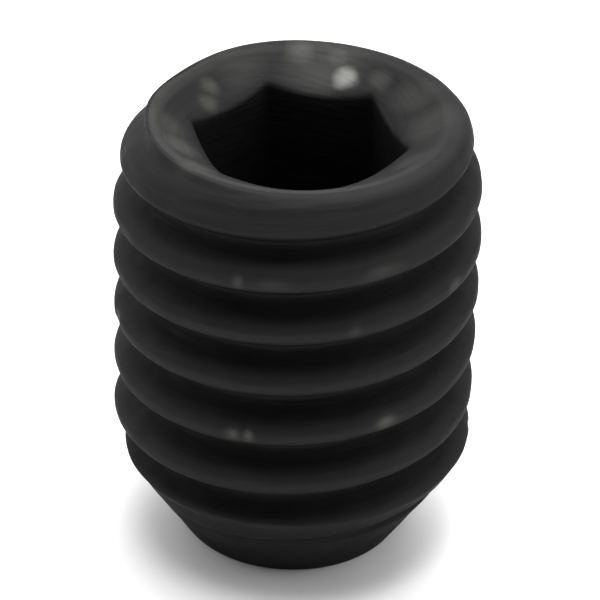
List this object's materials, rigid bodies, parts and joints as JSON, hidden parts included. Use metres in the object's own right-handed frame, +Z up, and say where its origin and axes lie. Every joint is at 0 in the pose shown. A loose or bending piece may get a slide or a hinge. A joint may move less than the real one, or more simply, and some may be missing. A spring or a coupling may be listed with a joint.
{
  "type": "hexagon socket set screw",
  "caption": "Headless black steel set screw with a full-length right-hand thread, a hexagon socket in one end and a bevelled cup point on the other.",
  "frame": {"origin": "centre of the ring that the cup point bears on", "axes": "+Z up the screw's axis towards the socket end; +X through one corner of the hexagon socket"},
  "size_m": [0.0078, 0.0078, 0.01],
  "materials": {
    "blackened_steel": "black oxide with a thin film of oil, satin"
  },
  "bodies": {
    "root": {"set_screw": "blackened_steel"}
  },
  "joints": []
}
